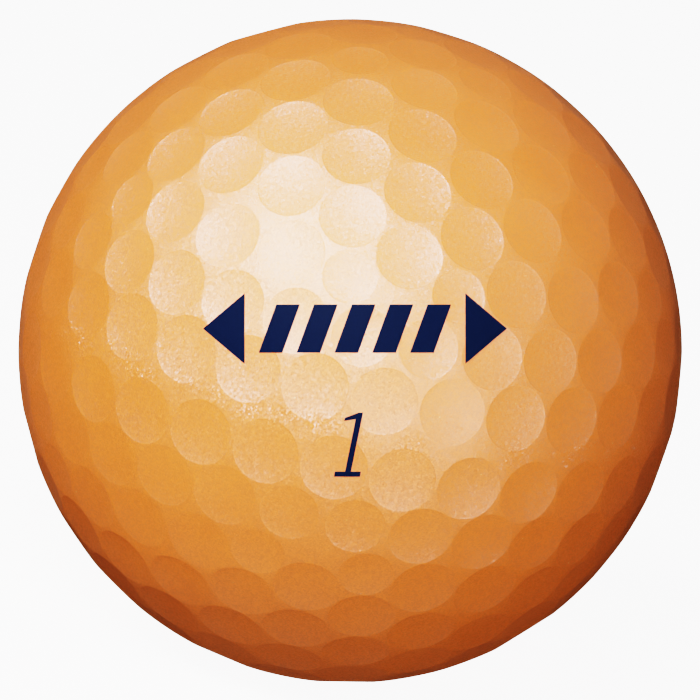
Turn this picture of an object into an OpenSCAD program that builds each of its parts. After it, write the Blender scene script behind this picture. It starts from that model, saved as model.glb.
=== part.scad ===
// Golf ball with a dimpled two-part cover, a mantle, a two-layer core and printed marks.
// The origin is the ball's centre. The moulding seam lies in the XY plane, the poles of
// the dimple pattern are on the Z axis, and the printed face looks along -Y.

/* [Ball] */
// Diameter over the lands between the dimples
ball_d = 42.7; // [42.67:0.01:43]
// Thickness of the cover under a land
cover_t = 1.4; // [1.2:0.1:1.8]
// Thickness of the mantle under the cover
mantle_t = 1.2; // [0.9:0.1:1.6]
// Diameter of the centre of the core
centre_d = 26; // [22:1:30]

/* [Dimples] */
// Slope of a dimple's bowl where it meets the rim, in degrees from the rim's plane
dimple_slope = 9; // [7:0.5:11]
// Turn of the upper half's pattern about Z, in degrees from +X
pattern_turn = -82.5; // [-90:0.1:-75]

/* [Print] */
// Thickness of the ink film
ink_t = 0.03; // [0.02:0.01:0.05]
// Height of the play number
digit_h = 4; // [3:0.5:4.5]
// Overall width of the alignment mark
mark_w = 19; // [17:0.5:20]
// Height of the alignment mark's arrowheads
mark_h = 4.4; // [3.4:0.2:4.8]
// Angle of the print's centre line above the seam plane, in degrees
print_elev = 13.7; // [0:0.1:20]
// Turn of the print's baseline away from the seam, in degrees
print_roll = 12.3; // [0:0.1:20]

/* [Hidden] */

// Smoothness of the ball's own spheres, and of a dimple cutter
ball_fn = 128;
dimple_fn = 48;
// Clearances that a dimple cutter keeps beyond the rim, and above the land
cut_margin = 0.04;
cut_height = 0.1;

// Radii of the layers, from the outside in
ball_r = ball_d / 2;
mantle_r = ball_r - cover_t;
core_r = mantle_r - mantle_t;
centre_r = centre_d / 2;

// The pattern repeats in fifths of a half ball, and each fifth is symmetric about its own
// middle. A row gives a dimple's latitude, its offset in longitude from the middle of the
// fifth, and its rim diameter. The offset is used on both sides of the middle.
fifth = 72;
pole_dimple_d = 3;
dimple_rows = [
  [79.5, 0, 4.4],
  [71, 36, 3.6],
  [67.5, 0, 4.3],
  [60, 23, 4.5],
  [55.5, 0, 4.4],
  [50, 36, 4.5],
  [48, 16.5, 4.3],
  [43.5, 0, 4.3],
  [39, 28, 4.35],
  [36.5, 13, 4.25],
  [31.5, 0, 4.25],
  [27.5, 22.5, 4.3],
  [27, 36, 4.3],
  [26, 10.5, 3.5],
  [16.5, 6, 3.8],
  [16.5, 18, 4.15],
  [16.5, 30, 4.15]
];
// The last row beside the seam is evenly spaced
belt_lat = 6.5;
belt_pitch = 12;
belt_dimple_d = 4.25;

function direction(lat, lon) = [cos(lat) * cos(lon), cos(lat) * sin(lon), sin(lat)];
function offset_sides(offset) = (offset == 0 || offset == fifth / 2) ? [1] : [-1, 1];

// All dimples of one half as [direction, rim diameter]: side is 1 above the seam, -1 below
function dimples(side, turn) = concat(
  [[[0, 0, side], pole_dimple_d]],
  [
    for (row = dimple_rows, k = [0 : 4], s = offset_sides(row[1]))
      [direction(side * row[0], turn + k * fifth + s * row[1]), row[2]]
  ],
  [
    for (i = [0 : 360 / belt_pitch - 1])
      [direction(side * belt_lat, turn + i * belt_pitch), belt_dimple_d]
  ]
);

// The lower half's belt is staggered by half a pitch
dimples_upper = dimples(1, pattern_turn);
dimples_lower = dimples(-1, pattern_turn - belt_pitch / 2);

// The print's own axes: to the right, up, and outwards
print_out = [0, -cos(print_elev), sin(print_elev)];
print_slope = [0, sin(print_elev), cos(print_elev)];
print_right = [cos(print_roll), 0, 0] + sin(print_roll) * print_slope;
print_up = [-sin(print_roll), 0, 0] + cos(print_roll) * print_slope;

// Numeral one: a slanted stem on a slab foot, with a tapered flag at its top
digit_lean = 11.5;
digit_foot = [-0.2, -7.85];
stem_w = 0.36;
stem_bevel = 0.1;
foot_w = 1.62;
foot_h = 0.31;
flag_w = 0.7;
flag_h = 0.18;
flag_drop = 0.33;

// Alignment mark: slanted bars between two arrowheads
mark_centre = [0.3, 1.4];
mark_lean = 20;
bar_count = 5;
bar_h = 3;
mark_gap = 0.9;
arrow_w = 2.6;

// A dimple can meet a mark only where its centre is within this distance of it
dimple_reach = 2.5;

function slanted(points, lean) = [for (p = points) [p[0] + p[1] * tan(lean), p[1]]];

// Lens that cuts one dimple at the top of a ball. With a lift above zero, it leaves a skin
// of that thickness over the dimple, on a ball that is thicker by the same amount.
module dimple_cutter(rim_d, lift) {
  rim_r = rim_d / 2;
  rim_z = sqrt(pow(ball_r, 2) - pow(rim_r, 2));
  bowl_r = rim_r / sin(dimple_slope);
  bowl_z = bowl_r * cos(dimple_slope);
  cutter_bottom = -rim_r;
  cutter_top = ball_r - rim_z + cut_height;
  translate([0, 0, rim_z])
    rotate_extrude($fn = dimple_fn)
      intersection() {
        translate([0, bowl_z])
          circle(r = bowl_r - lift, $fn = ball_fn);
        translate([0, cutter_bottom])
          square([rim_r + cut_margin, cutter_top - cutter_bottom]);
      }
}

module dimple_cutters(list, lift = 0) {
  for (dimple = list) {
    lat = asin(dimple[0][2]);
    lon = atan2(dimple[0][1], dimple[0][0]);
    rotate([0, 90 - lat, lon]) dimple_cutter(dimple[1], lift);
  }
}

// Half of a hollow ball, above the seam plane
module half_shell(outer_r, inner_r) {
  rotate_extrude($fn = ball_fn)
    intersection() {
      difference() {
        circle(r = outer_r, $fn = ball_fn);
        circle(r = inner_r, $fn = ball_fn);
      }
      square(outer_r);
    }
}

module lower_half() {
  mirror([0, 0, 1]) children();
}

// Ink film of the 2D shape given as a child, laid on the dimpled surface. The centre and
// reach bound the shape in the print's plane, and only dimples in that area are cut.
module ink_film(rear, centre, reach) {
  facing = rear ? -1 : 1;
  under = [
    for (dimple = concat(dimples_upper, dimples_lower))
      if (facing * dimple[0] * print_out > 0)
        if (abs(facing * ball_r * dimple[0] * print_right - centre[0]) < reach[0])
          if (abs(ball_r * dimple[0] * print_up - centre[1]) < reach[1])
            dimple
  ];
  difference() {
    intersection() {
      rotate([90 - print_elev, 0, 0])
        rotate([0, 0, print_roll])
          rotate([0, rear ? 180 : 0, 0])
            translate([0, 0, ball_r / 2])
              linear_extrude(height = ball_r)
                children();
      difference() {
        sphere(r = ball_r + ink_t, $fn = ball_fn);
        dimple_cutters(under, ink_t);
      }
    }
    difference() {
      sphere(r = ball_r, $fn = ball_fn);
      dimple_cutters(under);
    }
  }
}

module numeral_one() {
  stem_left = stem_w / -2;
  stem_right = stem_w / 2;
  translate(digit_foot)
    polygon(slanted([
      [-foot_w / 2, 0],
      [foot_w / 2, 0],
      [foot_w / 2, foot_h],
      [stem_right, foot_h],
      [stem_right, digit_h],
      [stem_left + stem_bevel, digit_h],
      [stem_left - flag_w, digit_h - flag_drop],
      [stem_left - flag_w, digit_h - flag_drop - flag_h],
      [stem_left, digit_h - flag_drop - flag_h / 3],
      [stem_left, foot_h],
      [-foot_w / 2, foot_h]
    ], digit_lean));
}

module arrowhead() {
  tip = mark_w / 2;
  polygon([[tip, 0], [tip - arrow_w, mark_h / 2], [tip - arrow_w, -mark_h / 2]]);
}

module alignment_mark() {
  row_w = mark_w - 2 * arrow_w - 2 * mark_gap;
  bar_lean_w = bar_h * tan(mark_lean);
  bar_w = (row_w - bar_lean_w - (bar_count - 1) * mark_gap) / bar_count;
  translate(mark_centre) {
    arrowhead();
    mirror([1, 0]) arrowhead();
    for (i = [0 : bar_count - 1])
      translate([-row_w / 2 + bar_lean_w / 2 + i * (bar_w + mark_gap), 0])
        polygon(slanted([
          [0, -bar_h / 2],
          [bar_w, -bar_h / 2],
          [bar_w, bar_h / 2],
          [0, bar_h / 2]
        ], mark_lean));
  }
}

module core_centre() {
  color([0.93, 0.55, 0.16]) sphere(r = centre_r, $fn = ball_fn);
}

module outer_core_upper() {
  color([0.96, 0.76, 0.42]) half_shell(core_r, centre_r);
}

module outer_core_lower() {
  color([0.96, 0.76, 0.42]) lower_half() half_shell(core_r, centre_r);
}

module mantle_upper() {
  color([0.97, 0.93, 0.85]) half_shell(mantle_r, core_r);
}

module mantle_lower() {
  color([0.97, 0.93, 0.85]) lower_half() half_shell(mantle_r, core_r);
}

module cover_upper() {
  color([0.91, 0.62, 0.24])
    difference() {
      half_shell(ball_r, mantle_r);
      dimple_cutters(dimples_upper);
    }
}

module cover_lower() {
  color([0.91, 0.62, 0.24])
    difference() {
      lower_half() half_shell(ball_r, mantle_r);
      dimple_cutters(dimples_lower);
    }
}

module play_number(rear) {
  centre = digit_foot + [0, digit_h / 2];
  reach = [foot_w + dimple_reach, digit_h / 2 + dimple_reach];
  color([0.06, 0.1, 0.3]) ink_film(rear, centre, reach) numeral_one();
}

module play_number_front() {
  play_number(false);
}

module play_number_rear() {
  play_number(true);
}

module alignment_mark_film(rear) {
  reach = [mark_w / 2 + dimple_reach, mark_h / 2 + dimple_reach];
  color([0.06, 0.1, 0.3]) ink_film(rear, mark_centre, reach) alignment_mark();
}

module alignment_mark_front() {
  alignment_mark_film(false);
}

module alignment_mark_rear() {
  alignment_mark_film(true);
}

core_centre();
outer_core_upper();
outer_core_lower();
mantle_upper();
mantle_lower();
cover_upper();
cover_lower();
play_number_front();
play_number_rear();
alignment_mark_front();
alignment_mark_rear();
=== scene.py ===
"""Looks of the golf ball: frosted pearl cover halves with rounded dimple rims, and the ink."""

import math

import bpy
import numpy as np
from mathutils import Matrix, Vector
from mathutils.geometry import delaunay_2d_cdt


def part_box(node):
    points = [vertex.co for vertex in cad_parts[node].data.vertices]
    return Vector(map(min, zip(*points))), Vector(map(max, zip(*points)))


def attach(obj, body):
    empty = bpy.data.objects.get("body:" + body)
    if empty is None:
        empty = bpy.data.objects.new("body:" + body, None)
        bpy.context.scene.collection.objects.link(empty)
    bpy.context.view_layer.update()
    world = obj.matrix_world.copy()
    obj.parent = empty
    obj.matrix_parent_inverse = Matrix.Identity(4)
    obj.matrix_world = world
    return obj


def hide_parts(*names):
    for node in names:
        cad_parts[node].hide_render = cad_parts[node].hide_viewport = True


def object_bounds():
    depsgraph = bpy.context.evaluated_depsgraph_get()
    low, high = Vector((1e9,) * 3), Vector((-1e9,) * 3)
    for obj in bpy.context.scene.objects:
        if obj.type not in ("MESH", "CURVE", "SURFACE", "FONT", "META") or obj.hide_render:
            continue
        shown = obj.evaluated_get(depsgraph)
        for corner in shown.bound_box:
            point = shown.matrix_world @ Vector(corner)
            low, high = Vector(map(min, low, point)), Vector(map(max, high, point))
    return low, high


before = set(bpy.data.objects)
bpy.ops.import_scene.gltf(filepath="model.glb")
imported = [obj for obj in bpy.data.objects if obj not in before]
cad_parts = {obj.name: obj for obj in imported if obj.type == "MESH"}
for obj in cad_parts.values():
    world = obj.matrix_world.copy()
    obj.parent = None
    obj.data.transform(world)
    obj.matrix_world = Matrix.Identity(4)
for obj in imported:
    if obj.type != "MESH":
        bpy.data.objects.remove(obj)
cad_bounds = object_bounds()

MM = 0.001

# ---------------------------------------------------------------- sizes, in millimetres

ball_low, ball_high = cad_bounds
BALL_R = ball_high.x / MM
MANTLE_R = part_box("mantle_upper")[1].x / MM

DIMPLE_SLOPE = math.radians(9)
PATTERN_TURN = -82.5
RIM_SOFTNESS = 0.006     # height over which a bowl blends into the land beside it
EDGE_DROP = 0.01         # a bowl's wall is steeper next to its rim, and ends this much lower
EDGE_WIDTH = 0.12
RIM_MARGIN = 0.02        # radians round a dimple within which its rim's rounding can reach

# One fifth of a half ball: latitude, offset from the fifth's middle, rim diameter
FIFTH = 72
POLE_DIMPLE = 3
DIMPLE_ROWS = [
    (79.5, 0, 4.4), (71, 36, 3.6), (67.5, 0, 4.3), (60, 23, 4.5), (55.5, 0, 4.4),
    (50, 36, 4.5), (48, 16.5, 4.3), (43.5, 0, 4.3), (39, 28, 4.35), (36.5, 13, 4.25),
    (31.5, 0, 4.25), (27.5, 22.5, 4.3), (27, 36, 4.3), (26, 10.5, 3.5),
    (16.5, 6, 3.8), (16.5, 18, 4.15), (16.5, 30, 4.15),
]
BELT_LAT, BELT_PITCH, BELT_DIMPLE = 6.5, 12, 4.25

# The print's centre line: above the seam plane, and turned from it
PRINT_ELEV = math.radians(13.7)
PRINT_ROLL = math.radians(12.3)


# ---------------------------------------------------------------- the dimpled surface

def direction(lat, lon):
    lat, lon = math.radians(lat), math.radians(lon)
    return (math.cos(lat) * math.cos(lon), math.cos(lat) * math.sin(lon), math.sin(lat))


def dimples(side):
    """Dimples of one half as (unit direction, rim radius); side is 1 above the seam, -1 below."""
    turn = PATTERN_TURN if side > 0 else PATTERN_TURN - BELT_PITCH / 2
    found = [((0, 0, side), POLE_DIMPLE / 2)]
    for lat, offset, rim_d in DIMPLE_ROWS:
        for fifth in range(5):
            for s in (1,) if offset in (0, FIFTH / 2) else (-1, 1):
                lon = turn + fifth * FIFTH + s * offset
                found.append((direction(side * lat, lon), rim_d / 2))
    for i in range(360 // BELT_PITCH):
        found.append((direction(side * BELT_LAT, turn + i * BELT_PITCH), BELT_DIMPLE / 2))
    return found


ALL_DIMPLES = dimples(1) + dimples(-1)


def surface_radius(units):
    """Distance from the ball's centre to its surface along each unit vector, rims rounded."""
    radius = np.full(len(units), BALL_R)
    for axis, rim_r in ALL_DIMPLES:
        cosine = units @ np.array(axis)
        rim_z = math.sqrt(BALL_R**2 - rim_r**2)
        near = np.flatnonzero(cosine > math.cos(math.asin(rim_r / BALL_R) + RIM_MARGIN))
        if not len(near):
            continue
        bowl_r = rim_r / math.sin(DIMPLE_SLOPE)
        centre_z = rim_z + bowl_r * math.cos(DIMPLE_SLOPE)
        c = cosine[near]
        off_axis = BALL_R * np.sqrt(np.maximum(1 - c * c, 0))
        inwards = np.clip((rim_r - off_axis) / EDGE_WIDTH, 0, 1)
        bowl = centre_z * c - np.sqrt(np.maximum(bowl_r**2 - centre_z**2 * (1 - c * c), 0))
        bowl -= EDGE_DROP * inwards * (2 - inwards)
        land = radius[near]
        blend = np.maximum(RIM_SOFTNESS - np.abs(bowl - land), 0)
        radius[near] = np.minimum(bowl, land) - blend**2 / (4 * RIM_SOFTNESS)
    return radius


def surface_points(units):
    return units * surface_radius(units)[:, None]


def surface_normals(units):
    """Outward normals of the dimpled surface, from small steps across it."""
    step = 2e-4
    helper = np.where(np.abs(units[:, 2:3]) < 0.9, [[0.0, 0.0, 1.0]], [[1.0, 0.0, 0.0]])
    a = np.cross(units, helper)
    a /= np.linalg.norm(a, axis=1)[:, None]
    b = np.cross(units, a)

    def across(t):
        ends = []
        for s in (-step, step):
            u = units + s * t
            u /= np.linalg.norm(u, axis=1)[:, None]
            ends.append(surface_points(u))
        return ends[1] - ends[0]

    n = np.cross(across(a), across(b))
    n *= np.sign(np.sum(n * units, axis=1))[:, None]
    return n / np.linalg.norm(n, axis=1)[:, None]


# ---------------------------------------------------------------- cover halves

RING_SIDES = 44
BOWL_RINGS = (0.35, 0.65, 0.86)                 # rings in a bowl, as shares of its rim's radius
RIM_RINGS = (-0.12, -0.07, -0.03, 0.0, 0.035)   # rings along a rim, in mm outside it
LAND_STEP = 0.3                                 # distance between points of the land, in mm
LAND_CLEARANCE = 0.1                            # and from them to the rims
SEAM_SIDES = 720
INNER_SIDES = 180                               # sides and rows of the smooth inside
INNER_STEPS = 24


def circle(sides, lat=0.0):
    """Unit vectors on a circle of latitude."""
    t = np.arange(sides) * 2 * math.pi / sides
    rise = np.full(sides, math.sin(lat))
    return np.stack([math.cos(lat) * np.cos(t), math.cos(lat) * np.sin(t), rise], axis=1)


def ring_around(axis, radius):
    """Unit vectors on a circle about axis that lies on the ball with that radius, in mm."""
    axis = Vector(axis)
    a = axis.orthogonal().normalized()
    turn = np.array([a, axis.cross(a), axis])
    return circle(RING_SIDES, math.acos(radius / BALL_R)) @ turn


def flatten(units):
    """Stereographic map of the upper half to a disc: circles stay circles."""
    return units[:, :2] / (1 + units[:, 2:3])


def land_points(rims):
    """An even spread of unit vectors over the land of the upper half, clear of the rims."""
    steps = int(math.pi / 2 * BALL_R / LAND_STEP)
    rows = []
    for i in range(1, steps):
        lat = math.pi / 2 * i / steps
        rows.append(circle(max(int(2 * math.pi * BALL_R * math.cos(lat) / LAND_STEP), 6), lat))
    points = np.concatenate(rows)
    keep = np.ones(len(points), bool)
    for axis, rim_r in rims:
        keep &= points @ np.array(axis) < math.cos(math.asin((rim_r + LAND_CLEARANCE) / BALL_R))
    return points[keep]


def loop_edges(start, sides):
    return [(start + i, start + (i + 1) % sides) for i in range(sides)]


def outer_surface(rims):
    """Unit vectors and faces of the upper half's outside. Its edge comes first."""
    rings = [ring_around(axis, rim_r + RIM_RINGS[-1]) for axis, rim_r in rims]
    units = np.concatenate([circle(SEAM_SIDES)] + rings + [land_points(rims)])
    ring_starts = [SEAM_SIDES + i * RING_SIDES for i in range(len(rims))]
    edges = loop_edges(0, SEAM_SIDES)
    owner = np.full(len(units), -1)
    for i, start in enumerate(ring_starts):
        edges += loop_edges(start, RING_SIDES)
        owner[start:start + RING_SIDES] = i
    flat = [Vector(p) for p in flatten(units)]
    tolerance = 1e-9
    made = delaunay_2d_cdt(flat, edges, [], 0, tolerance)
    if len(made[0]) != len(flat):
        raise RuntimeError("two points of the land fell together")
    source = [original[0] for original in made[3]]
    faces = []
    for made_face in made[2]:
        face = [source[i] for i in made_face]
        owners = set(owner[face])
        if len(owners) > 1 or -1 in owners:
            faces.append(face)
    # each rim is filled with its bowl, ring by ring, down to one point in the middle
    parts = [units]
    count = len(units)
    for (axis, rim_r), start in zip(rims, ring_starts):
        outer = list(range(start, start + RING_SIDES))
        radii = [rim_r + step for step in RIM_RINGS[-2::-1]]
        radii += [rim_r * share for share in BOWL_RINGS[::-1]]
        for radius in radii:
            parts.append(ring_around(axis, radius))
            inner = list(range(count, count + RING_SIDES))
            count += RING_SIDES
            faces += strip(outer, inner)
            outer = inner
        parts.append(np.array([axis], float))
        faces += [[a, b, count] for a, b in zip(outer, outer[1:] + outer[:1])]
        count += 1
    return np.concatenate(parts), faces


def strip(outer, inner):
    """Faces between two rings of the same number of points."""
    around = zip(outer, outer[1:] + outer[:1], inner[1:] + inner[:1], inner)
    return [list(face) for face in around]


def inner_surface(start):
    """Points and faces of the upper half's inside, from the seam at index 0 to the pole."""
    points = [circle(SEAM_SIDES)]
    seam = list(range(SEAM_SIDES))
    ring = list(range(start, start + SEAM_SIDES))
    land = strip(ring, seam)
    count = start + SEAM_SIDES
    step = SEAM_SIDES // INNER_SIDES
    first = list(range(count, count + INNER_SIDES))
    lat = math.pi / 2 / INNER_STEPS
    points.append(circle(INNER_SIDES, lat))
    count += INNER_SIDES
    faces = []
    for i in range(INNER_SIDES):
        low = [ring[(i * step + k) % SEAM_SIDES] for k in range(step, -1, -1)]
        faces.append(low + [first[i], first[(i + 1) % INNER_SIDES]])
    for k in range(2, INNER_STEPS):
        points.append(circle(INNER_SIDES, k * lat))
        following = list(range(count, count + INNER_SIDES))
        count += INNER_SIDES
        faces += strip(following, first)
        first = following
    points.append(np.array([[0.0, 0.0, 1.0]]))
    faces += [[b, a, count] for a, b in zip(first, first[1:] + first[:1])]
    return np.concatenate(points) * MANTLE_R, land, faces


def cover_half(name, side, outside_mat, inside_mat):
    """A closed dimpled half shell, down to the mantle; side is 1 above the seam, -1 below."""
    flip = np.array([1, 1, side])
    rims = [(np.array(axis) * flip, rim_r) for axis, rim_r in dimples(side)]
    units, outer_faces = outer_surface(rims)
    inside, seam_faces, inner_faces = inner_surface(len(units))
    units = units * flip
    inside = inside * flip
    points = np.concatenate([surface_points(units), inside])
    faces = outer_faces + seam_faces + inner_faces
    if side < 0:
        faces = [face[::-1] for face in faces]
    mesh = bpy.data.meshes.new(name)
    mesh.from_pydata((points * MM).tolist(), [], faces)
    # corners take the exact normals of the surface that their face lies on
    at_vertex = np.concatenate([surface_normals(units), -inside / MANTLE_R])
    kind = np.repeat([0, 1, 2], [len(outer_faces), len(seam_faces), len(inner_faces)])
    kind_of_corner = np.repeat(kind, [len(face) for face in faces])
    vertices = np.concatenate(faces)
    corners = at_vertex[vertices]
    corners[kind_of_corner == 1] = (0, 0, -side)
    mesh.polygons.foreach_set("use_smooth", [True] * len(faces))
    mesh.materials.append(outside_mat)
    mesh.materials.append(inside_mat)
    mesh.polygons.foreach_set("material_index", np.minimum(kind, 1).astype(np.int32))
    mesh.normals_split_custom_set(corners.tolist())
    piece = bpy.data.objects.new(name, mesh)
    bpy.context.scene.collection.objects.link(piece)
    return piece


# ---------------------------------------------------------------- printed marks

PRINT_OUT = np.array([0, -math.cos(PRINT_ELEV), math.sin(PRINT_ELEV)])
PRINT_SLOPE = np.array([0, math.sin(PRINT_ELEV), math.cos(PRINT_ELEV)])
PRINT_RIGHT = np.array([math.cos(PRINT_ROLL), 0, 0]) + math.sin(PRINT_ROLL) * PRINT_SLOPE
PRINT_UP = np.array([-math.sin(PRINT_ROLL), 0, 0]) + math.cos(PRINT_ROLL) * PRINT_SLOPE


def seen_from(x, y, z):
    """A direction given as right, up and towards the camera, in the ball's frame."""
    return Vector(x * PRINT_RIGHT + y * PRINT_UP + z * PRINT_OUT)


def make_camera():
    """A long lens on the print's centre line, level with the print."""
    distance = 32            # in ball radii
    ball_share = 0.9486      # of the picture's half width
    aim = (-0.01, 0.06)      # the lens points this far, in mm, right of and above the ball's centre
    data = bpy.data.cameras.new("camera")
    data.sensor_width = 36
    data.lens = data.sensor_width / 2 * ball_share / math.tan(math.asin(1 / distance))
    data.clip_start, data.clip_end = 0.01, 20
    camera = bpy.data.objects.new("camera", data)
    turn = Matrix([PRINT_RIGHT, PRINT_UP, PRINT_OUT]).transposed().to_4x4()
    place = Matrix.Translation(seen_from(*aim, distance * BALL_R) * MM)
    camera.matrix_world = place @ turn
    bpy.context.scene.collection.objects.link(camera)
    bpy.context.scene.camera = camera


LIGHT_DISTANCE = 0.5         # in metres, like the lights' sizes
WORLD_LIGHT = 0.03


def softbox(name, towards, size, body, shine):
    """A round soft light, as a lamp for the cover's body and one that is only seen in its gloss.

    Each strength is what a white card facing the light would give back.
    """
    for part, strength in (("body", body), ("shine", shine)):
        if not strength:
            continue
        data = bpy.data.lights.new(name + "_" + part, "AREA")
        data.shape = "DISK"
        data.size = size
        data.energy = strength * (math.pi * LIGHT_DISTANCE)**2
        light = bpy.data.objects.new(name + "_" + part, data)
        light.location = seen_from(*towards).normalized() * LIGHT_DISTANCE
        light.rotation_mode = "QUATERNION"
        light.rotation_quaternion = (-light.location).to_track_quat("-Z", "Y")
        light.visible_camera = False
        light.visible_diffuse = part == "body"
        light.visible_glossy = part == "shine"
        bpy.context.scene.collection.objects.link(light)


def make_lights():
    """Soft lights in front, above, below and beside the ball, and one behind it."""
    softbox("front", (0, 0, 1), 0.2, 0.72, 0.16)
    softbox("key_right", (-0.09, 0.42, 0.9), 0.15, 0.72, 0.84)
    softbox("key_left", (-0.5, 0.575, 0.65), 0.15, 0.7, 0.5)
    softbox("key_sheen", (-0.31, 0.63, 0.71), 0.05, 0, 0.42)
    softbox("low_fill", (0.44, -0.35, 0.83), 0.15, 0, 0.26)
    softbox("top_left", (-0.4, 0.8, 0.45), 0.2, 0, 0.15)
    softbox("top_right", (0.5, 0.84, 0.2), 0.2, 0.05, 0.15)
    softbox("right_fill", (0.9, 0.1, 0.4), 0.3, 0.16, 0)
    softbox("left_sheen", (-0.9, 0.1, 0.4), 0.3, 0, 0.06)
    softbox("under_fill", (-0.25, -0.95, -0.05), 0.5, 0.285, 0.06)
    # the ball hides this one from in front, so it doesn't reach round the edge
    softbox("back_key", (0, 0, -1), 0.04, 1.4, 1)
    world = bpy.data.worlds.new("studio")
    world.use_nodes = True
    background = world.node_tree.nodes["Background"]
    background.inputs["Color"].default_value = (1, 1, 1, 1)
    background.inputs["Strength"].default_value = WORLD_LIGHT
    bpy.context.scene.world = world
    view = bpy.context.scene.view_settings
    view.view_transform = "Filmic"
    view.look = "Very High Contrast"


def make_floor():
    """A pale table that sweeps up into a dome and glows, so that it stays near white."""
    table_radius = 1.5
    table_rings, dome_rings, sides = 4, 24, 96
    closing = 0.2            # how late the dome draws in to its top
    glow = 3
    profile = [(table_radius * k / table_rings, 0) for k in range(1, table_rings + 1)]
    for k in range(1, dome_rings):
        turn = math.pi * k / dome_rings
        width = (1 + math.sin(turn)) * (1 - k / dome_rings) ** closing
        profile.append((table_radius * width, table_radius * (1 - math.cos(turn))))
    rings = [circle(sides) * (radius, radius, 1) + (0, 0, rise) for radius, rise in profile]
    points = np.concatenate([[(0, 0, 0)]] + rings + [[(0, 0, 2 * table_radius)]])
    faces = []
    loops = [list(range(1 + i * sides, 1 + (i + 1) * sides)) for i in range(len(rings))]
    for inner, outer in zip(loops, loops[1:]):
        faces += strip(outer, inner)
    faces += [[0, a, b] for a, b in zip(loops[0], loops[0][1:] + loops[0][:1])]
    faces += [[len(points) - 1, b, a] for a, b in zip(loops[-1], loops[-1][1:] + loops[-1][:1])]
    mesh = bpy.data.meshes.new("floor")
    mesh.from_pydata((points + (0, 0, ball_low.z)).tolist(), [], faces)
    mesh.polygons.foreach_set("use_smooth", [True] * len(faces))
    piece = bpy.data.objects.new("floor", mesh)
    bpy.context.scene.collection.objects.link(piece)
    mat, shader = material("floor", (0.9, 0.9, 0.9), 0.9)
    shader.inputs["Emission Color"].default_value = (1, 1, 1, 1)
    shader.inputs["Emission Strength"].default_value = glow
    mesh.materials.append(mat)
    piece.visible_glossy = False
    piece.visible_diffuse = False
    piece.visible_shadow = False


# ---------------------------------------------------------------- materials

def material(name, colour, roughness):
    mat = bpy.data.materials.new(name)
    mat.use_nodes = True
    shader = mat.node_tree.nodes["Principled BSDF"]
    shader.inputs["Base Color"].default_value = (*colour, 1)
    shader.inputs["Roughness"].default_value = roughness
    return mat, shader


def add_node(mat, kind, **settings):
    node = mat.node_tree.nodes.new(kind)
    for name, value in settings.items():
        if hasattr(node, name):
            setattr(node, name, value)
        else:
            node.inputs[name.replace("_", " ")].default_value = value
    return node


def link(mat, source, socket):
    mat.node_tree.links.new(source, socket)


def texture(mat, kind, size, **settings):
    """A solid texture whose features are about size mm across, on the object's own coordinates."""
    place = add_node(mat, "ShaderNodeTexCoord")
    node = add_node(mat, kind, Scale=1 / (size * MM), **settings)
    link(mat, place.outputs["Object"], node.inputs["Vector"])
    return node


def ramp(mat, source, low, high, to_low=0.0, to_high=1.0):
    node = add_node(mat, "ShaderNodeMapRange")
    for name, value in zip(("From Min", "From Max", "To Min", "To Max"), (low, high, to_low, to_high)):
        node.inputs[name].default_value = value
    link(mat, source, node.inputs["Value"])
    return node.outputs["Result"]


def blend(mat, factor, a, b):
    """A colour between a and b, each a colour or an output."""
    node = add_node(mat, "ShaderNodeMix", data_type="RGBA")
    link(mat, factor, node.inputs[0])
    for socket, value in ((node.inputs[6], a), (node.inputs[7], b)):
        if isinstance(value, tuple):
            socket.default_value = (*value, 1)
        else:
            link(mat, value, socket)
    return node.outputs[2]


def vector(mat, operation, a, b=None, scale=None):
    node = add_node(mat, "ShaderNodeVectorMath", operation=operation)
    for socket, value in zip(node.inputs, (a, b)):
        if isinstance(value, tuple):
            socket.default_value = value
        elif value is not None:
            link(mat, value, socket)
    if isinstance(scale, (int, float)):
        node.inputs["Scale"].default_value = scale
    elif scale is not None:
        link(mat, scale, node.inputs["Scale"])
    return node.outputs["Vector"]


def product(mat, a, b):
    node = add_node(mat, "ShaderNodeMath", operation="MULTIPLY")
    link(mat, a, node.inputs[0])
    link(mat, b, node.inputs[1])
    return node.outputs["Value"]


def from_centre(mat):
    """The direction from the ball's centre, which is the normal of the ball without dimples."""
    return vector(mat, "NORMALIZE", add_node(mat, "ShaderNodeTexCoord").outputs["Object"])


def bump(mat, height, distance, normal=None):
    node = add_node(mat, "ShaderNodeBump", Distance=distance * MM)
    link(mat, height, node.inputs["Height"])
    if normal is not None:
        link(mat, normal, node.inputs["Normal"])
    return node.outputs["Normal"]


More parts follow.
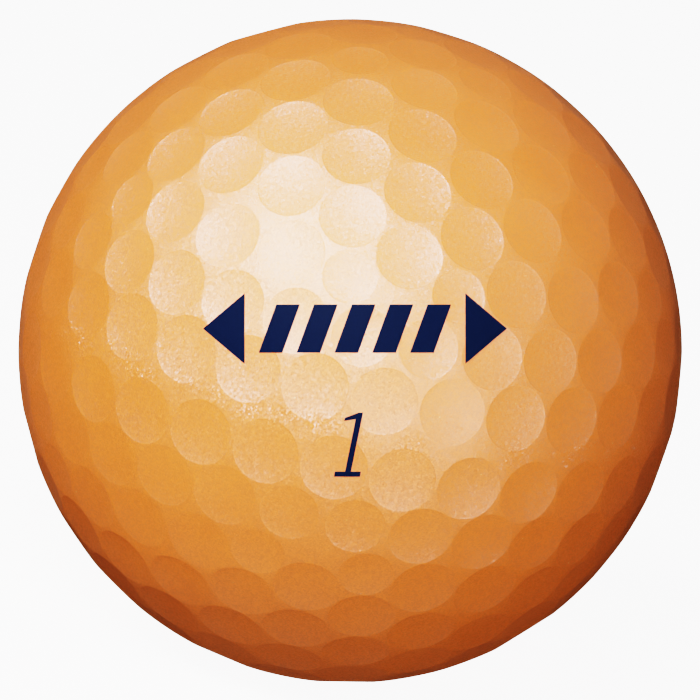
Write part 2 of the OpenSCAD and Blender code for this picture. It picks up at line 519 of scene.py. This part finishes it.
def pearl_cover():
    """Translucent orange with a gold haze, under a frosted coat of fine pearl flakes."""
    cloud_size, flake_size = 6, 0.1
    roundness = 0.9
    usual_tilt, rare_tilt = 0.08, 1.3
    mat, shader = material("cover_pearl", (0.76, 0.18, 0.033), 0.6)
    shader.inputs["IOR"].default_value = 1.9
    shader.inputs["Specular IOR Level"].default_value = 1
    shader.inputs["Specular Tint"].default_value = (1, 0.67, 0.34, 1)
    shader.inputs["Coat Weight"].default_value = 1
    shader.inputs["Coat Roughness"].default_value = 0.49
    shader.inputs["Coat IOR"].default_value = 2.2

    cloud = texture(mat, "ShaderNodeTexNoise", cloud_size, Detail=3)
    flakes = texture(mat, "ShaderNodeTexVoronoi", flake_size)
    tone = blend(mat, cloud.outputs["Fac"], (0.75, 0.145, 0.012), (0.86, 0.18, 0.02))
    grain = ramp(mat, flakes.outputs["Color"], 0.2, 0.8, 0.84, 1.16)
    tone = vector(mat, "SCALE", tone, scale=grain)
    # rare pale dots in the colour are painted glints of larger flakes
    link(mat, blend(mat, painted_glints(mat), tone, (0.9, 0.45, 0.16)), shader.inputs["Base Color"])

    # light spreads inside the cover, so its body shades as a rounder ball than its surface is
    surface = add_node(mat, "ShaderNodeNewGeometry").outputs["Normal"]
    round_part = vector(mat, "SCALE", from_centre(mat), scale=roundness)
    body = vector(mat, "ADD", round_part, vector(mat, "SCALE", surface, scale=1 - roundness))
    link(mat, vector(mat, "NORMALIZE", body), shader.inputs["Normal"])

    # flakes lie nearly flat, and a few of them stand well off it
    lean = vector(mat, "SUBTRACT", flakes.outputs["Color"], (0.5, 0.5, 0.5))
    cubed = vector(mat, "MULTIPLY", lean, vector(mat, "MULTIPLY", lean, lean))
    few = vector(mat, "SCALE", cubed, scale=rare_tilt)
    tilt = vector(mat, "ADD", vector(mat, "SCALE", lean, scale=usual_tilt), few)
    scuffed = vector(mat, "SCALE", lean, scale=seam_scuffs(mat))
    tilt = vector(mat, "ADD", tilt, scuffed)
    coat = vector(mat, "ADD", surface, tilt)
    link(mat, vector(mat, "NORMALIZE", coat), shader.inputs["Coat Normal"])
    return mat


def painted_glints(mat):
    """Rare pale dots about 0.1 mm across, painted where a larger flake lies in the coat: the painted
    glint of that flake.
    """
    spacing = 1.1
    cells = texture(mat, "ShaderNodeTexVoronoi", spacing)
    dot = ramp(mat, cells.outputs["Distance"], 0.05, 0.035)
    chosen = ramp(mat, cells.outputs["Color"], 0.62, 0.7)
    return product(mat, dot, chosen)


def seam_scuffs(mat):
    """How far buffing off the flash has roughened the coat: patches along the seam."""
    full_within, none_beyond = 0.2, 1.3          # height above or below the seam, in mm
    patch_size, strongest = 2, 0.7
    place = add_node(mat, "ShaderNodeTexCoord").outputs["Object"]
    height = add_node(mat, "ShaderNodeSeparateXYZ")
    link(mat, vector(mat, "ABSOLUTE", place), height.inputs["Vector"])
    band = ramp(mat, height.outputs["Z"], none_beyond * MM, full_within * MM)
    patches = texture(mat, "ShaderNodeTexNoise", patch_size, Detail=3)
    return product(mat, band, ramp(mat, patches.outputs["Fac"], 0.47, 0.65, 0, strongest))


def cover_inside():
    """The cover's moulded inner face: the bare orange resin, with faint flow marks."""
    mat, shader = material("cover_inside", (0.8, 0.25, 0.05), 0.45)
    flow = texture(mat, "ShaderNodeTexNoise", 5, Detail=4, Distortion=1.5)
    tone = blend(mat, flow.outputs["Fac"], (0.72, 0.2, 0.035), (0.86, 0.29, 0.06))
    link(mat, tone, shader.inputs["Base Color"])
    link(mat, bump(mat, flow.outputs["Fac"], 0.05), shader.inputs["Normal"])
    return mat


def rubber(name, dark, light, grain_size):
    """Moulded rubber: mottled, with a ground surface of fine pits that are painted darker towards
    their bottoms as painted shade.
    """
    mat, shader = material(name, light, 0.75)
    mottle = texture(mat, "ShaderNodeTexNoise", 3, Detail=5)
    pits = texture(mat, "ShaderNodeTexVoronoi", grain_size)
    tone = blend(mat, ramp(mat, mottle.outputs["Fac"], 0.35, 0.65), dark, light)
    # the pits' bottoms are painted darker: painted shade in the recesses
    painted_pit_shade = ramp(mat, pits.outputs["Distance"], 0, 0.6, 0.85, 1)
    link(mat, vector(mat, "SCALE", tone, scale=painted_pit_shade), shader.inputs["Base Color"])
    link(mat, ramp(mat, mottle.outputs["Fac"], 0.3, 0.7, 0.65, 0.85), shader.inputs["Roughness"])
    link(mat, bump(mat, pits.outputs["Distance"], 0.03), shader.inputs["Normal"])
    return mat


def ionomer():
    """Smooth, slightly waxy off-white resin with flow marks."""
    mat, shader = material("mantle_ionomer", (0.93, 0.86, 0.72), 0.35)
    flow = texture(mat, "ShaderNodeTexNoise", 8, Detail=4, Distortion=2)
    tone = blend(mat, flow.outputs["Fac"], (0.9, 0.82, 0.66), (0.95, 0.9, 0.79))
    link(mat, tone, shader.inputs["Base Color"])
    link(mat, ramp(mat, flow.outputs["Fac"], 0.3, 0.7, 0.28, 0.42), shader.inputs["Roughness"])
    link(mat, bump(mat, flow.outputs["Fac"], 0.03), shader.inputs["Normal"])
    return mat


def ink():
    """Pad-printed navy ink, dense and even, with a faint grain from the pad."""
    mat, shader = material("print_ink", (0.007, 0.0135, 0.039), 0.5)
    shader.inputs["Specular IOR Level"].default_value = 0.03
    grain = texture(mat, "ShaderNodeTexNoise", 0.15, Detail=2)
    tone = blend(mat, grain.outputs["Fac"], (0.0062, 0.012, 0.035), (0.0078, 0.015, 0.043))
    link(mat, tone, shader.inputs["Base Color"])
    link(mat, ramp(mat, grain.outputs["Fac"], 0.3, 0.7, 0.45, 0.6), shader.inputs["Roughness"])
    link(mat, from_centre(mat), shader.inputs["Normal"])
    return mat


make_camera()
make_lights()
make_floor()
pearl, inside = pearl_cover(), cover_inside()
COVER_HALVES = (
    ("cover_shell_upper", 1, "cover_upper"),
    ("cover_shell_lower", -1, "cover_lower"),
)
for name, side, node in COVER_HALVES:
    shell = cover_half(name, side, pearl, inside)
    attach(shell, "root")
    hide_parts(node)

# materials of the CAD nodes, by the start of their names
CARRIED_OVER = {
    "core_centre": rubber("centre_rubber", (0.72, 0.2, 0.03), (0.86, 0.3, 0.06), 0.35),
    "outer_core": rubber("core_rubber", (0.8, 0.46, 0.13), (0.9, 0.58, 0.2), 0.25),
    "mantle": ionomer(),
    "play_number": ink(),
}
CARRIED_OVER["alignment_mark"] = CARRIED_OVER["play_number"]
for name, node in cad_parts.items():
    for start, mat in CARRIED_OVER.items():
        if name.startswith(start):
            node.data.materials.clear()
            node.data.materials.append(mat)
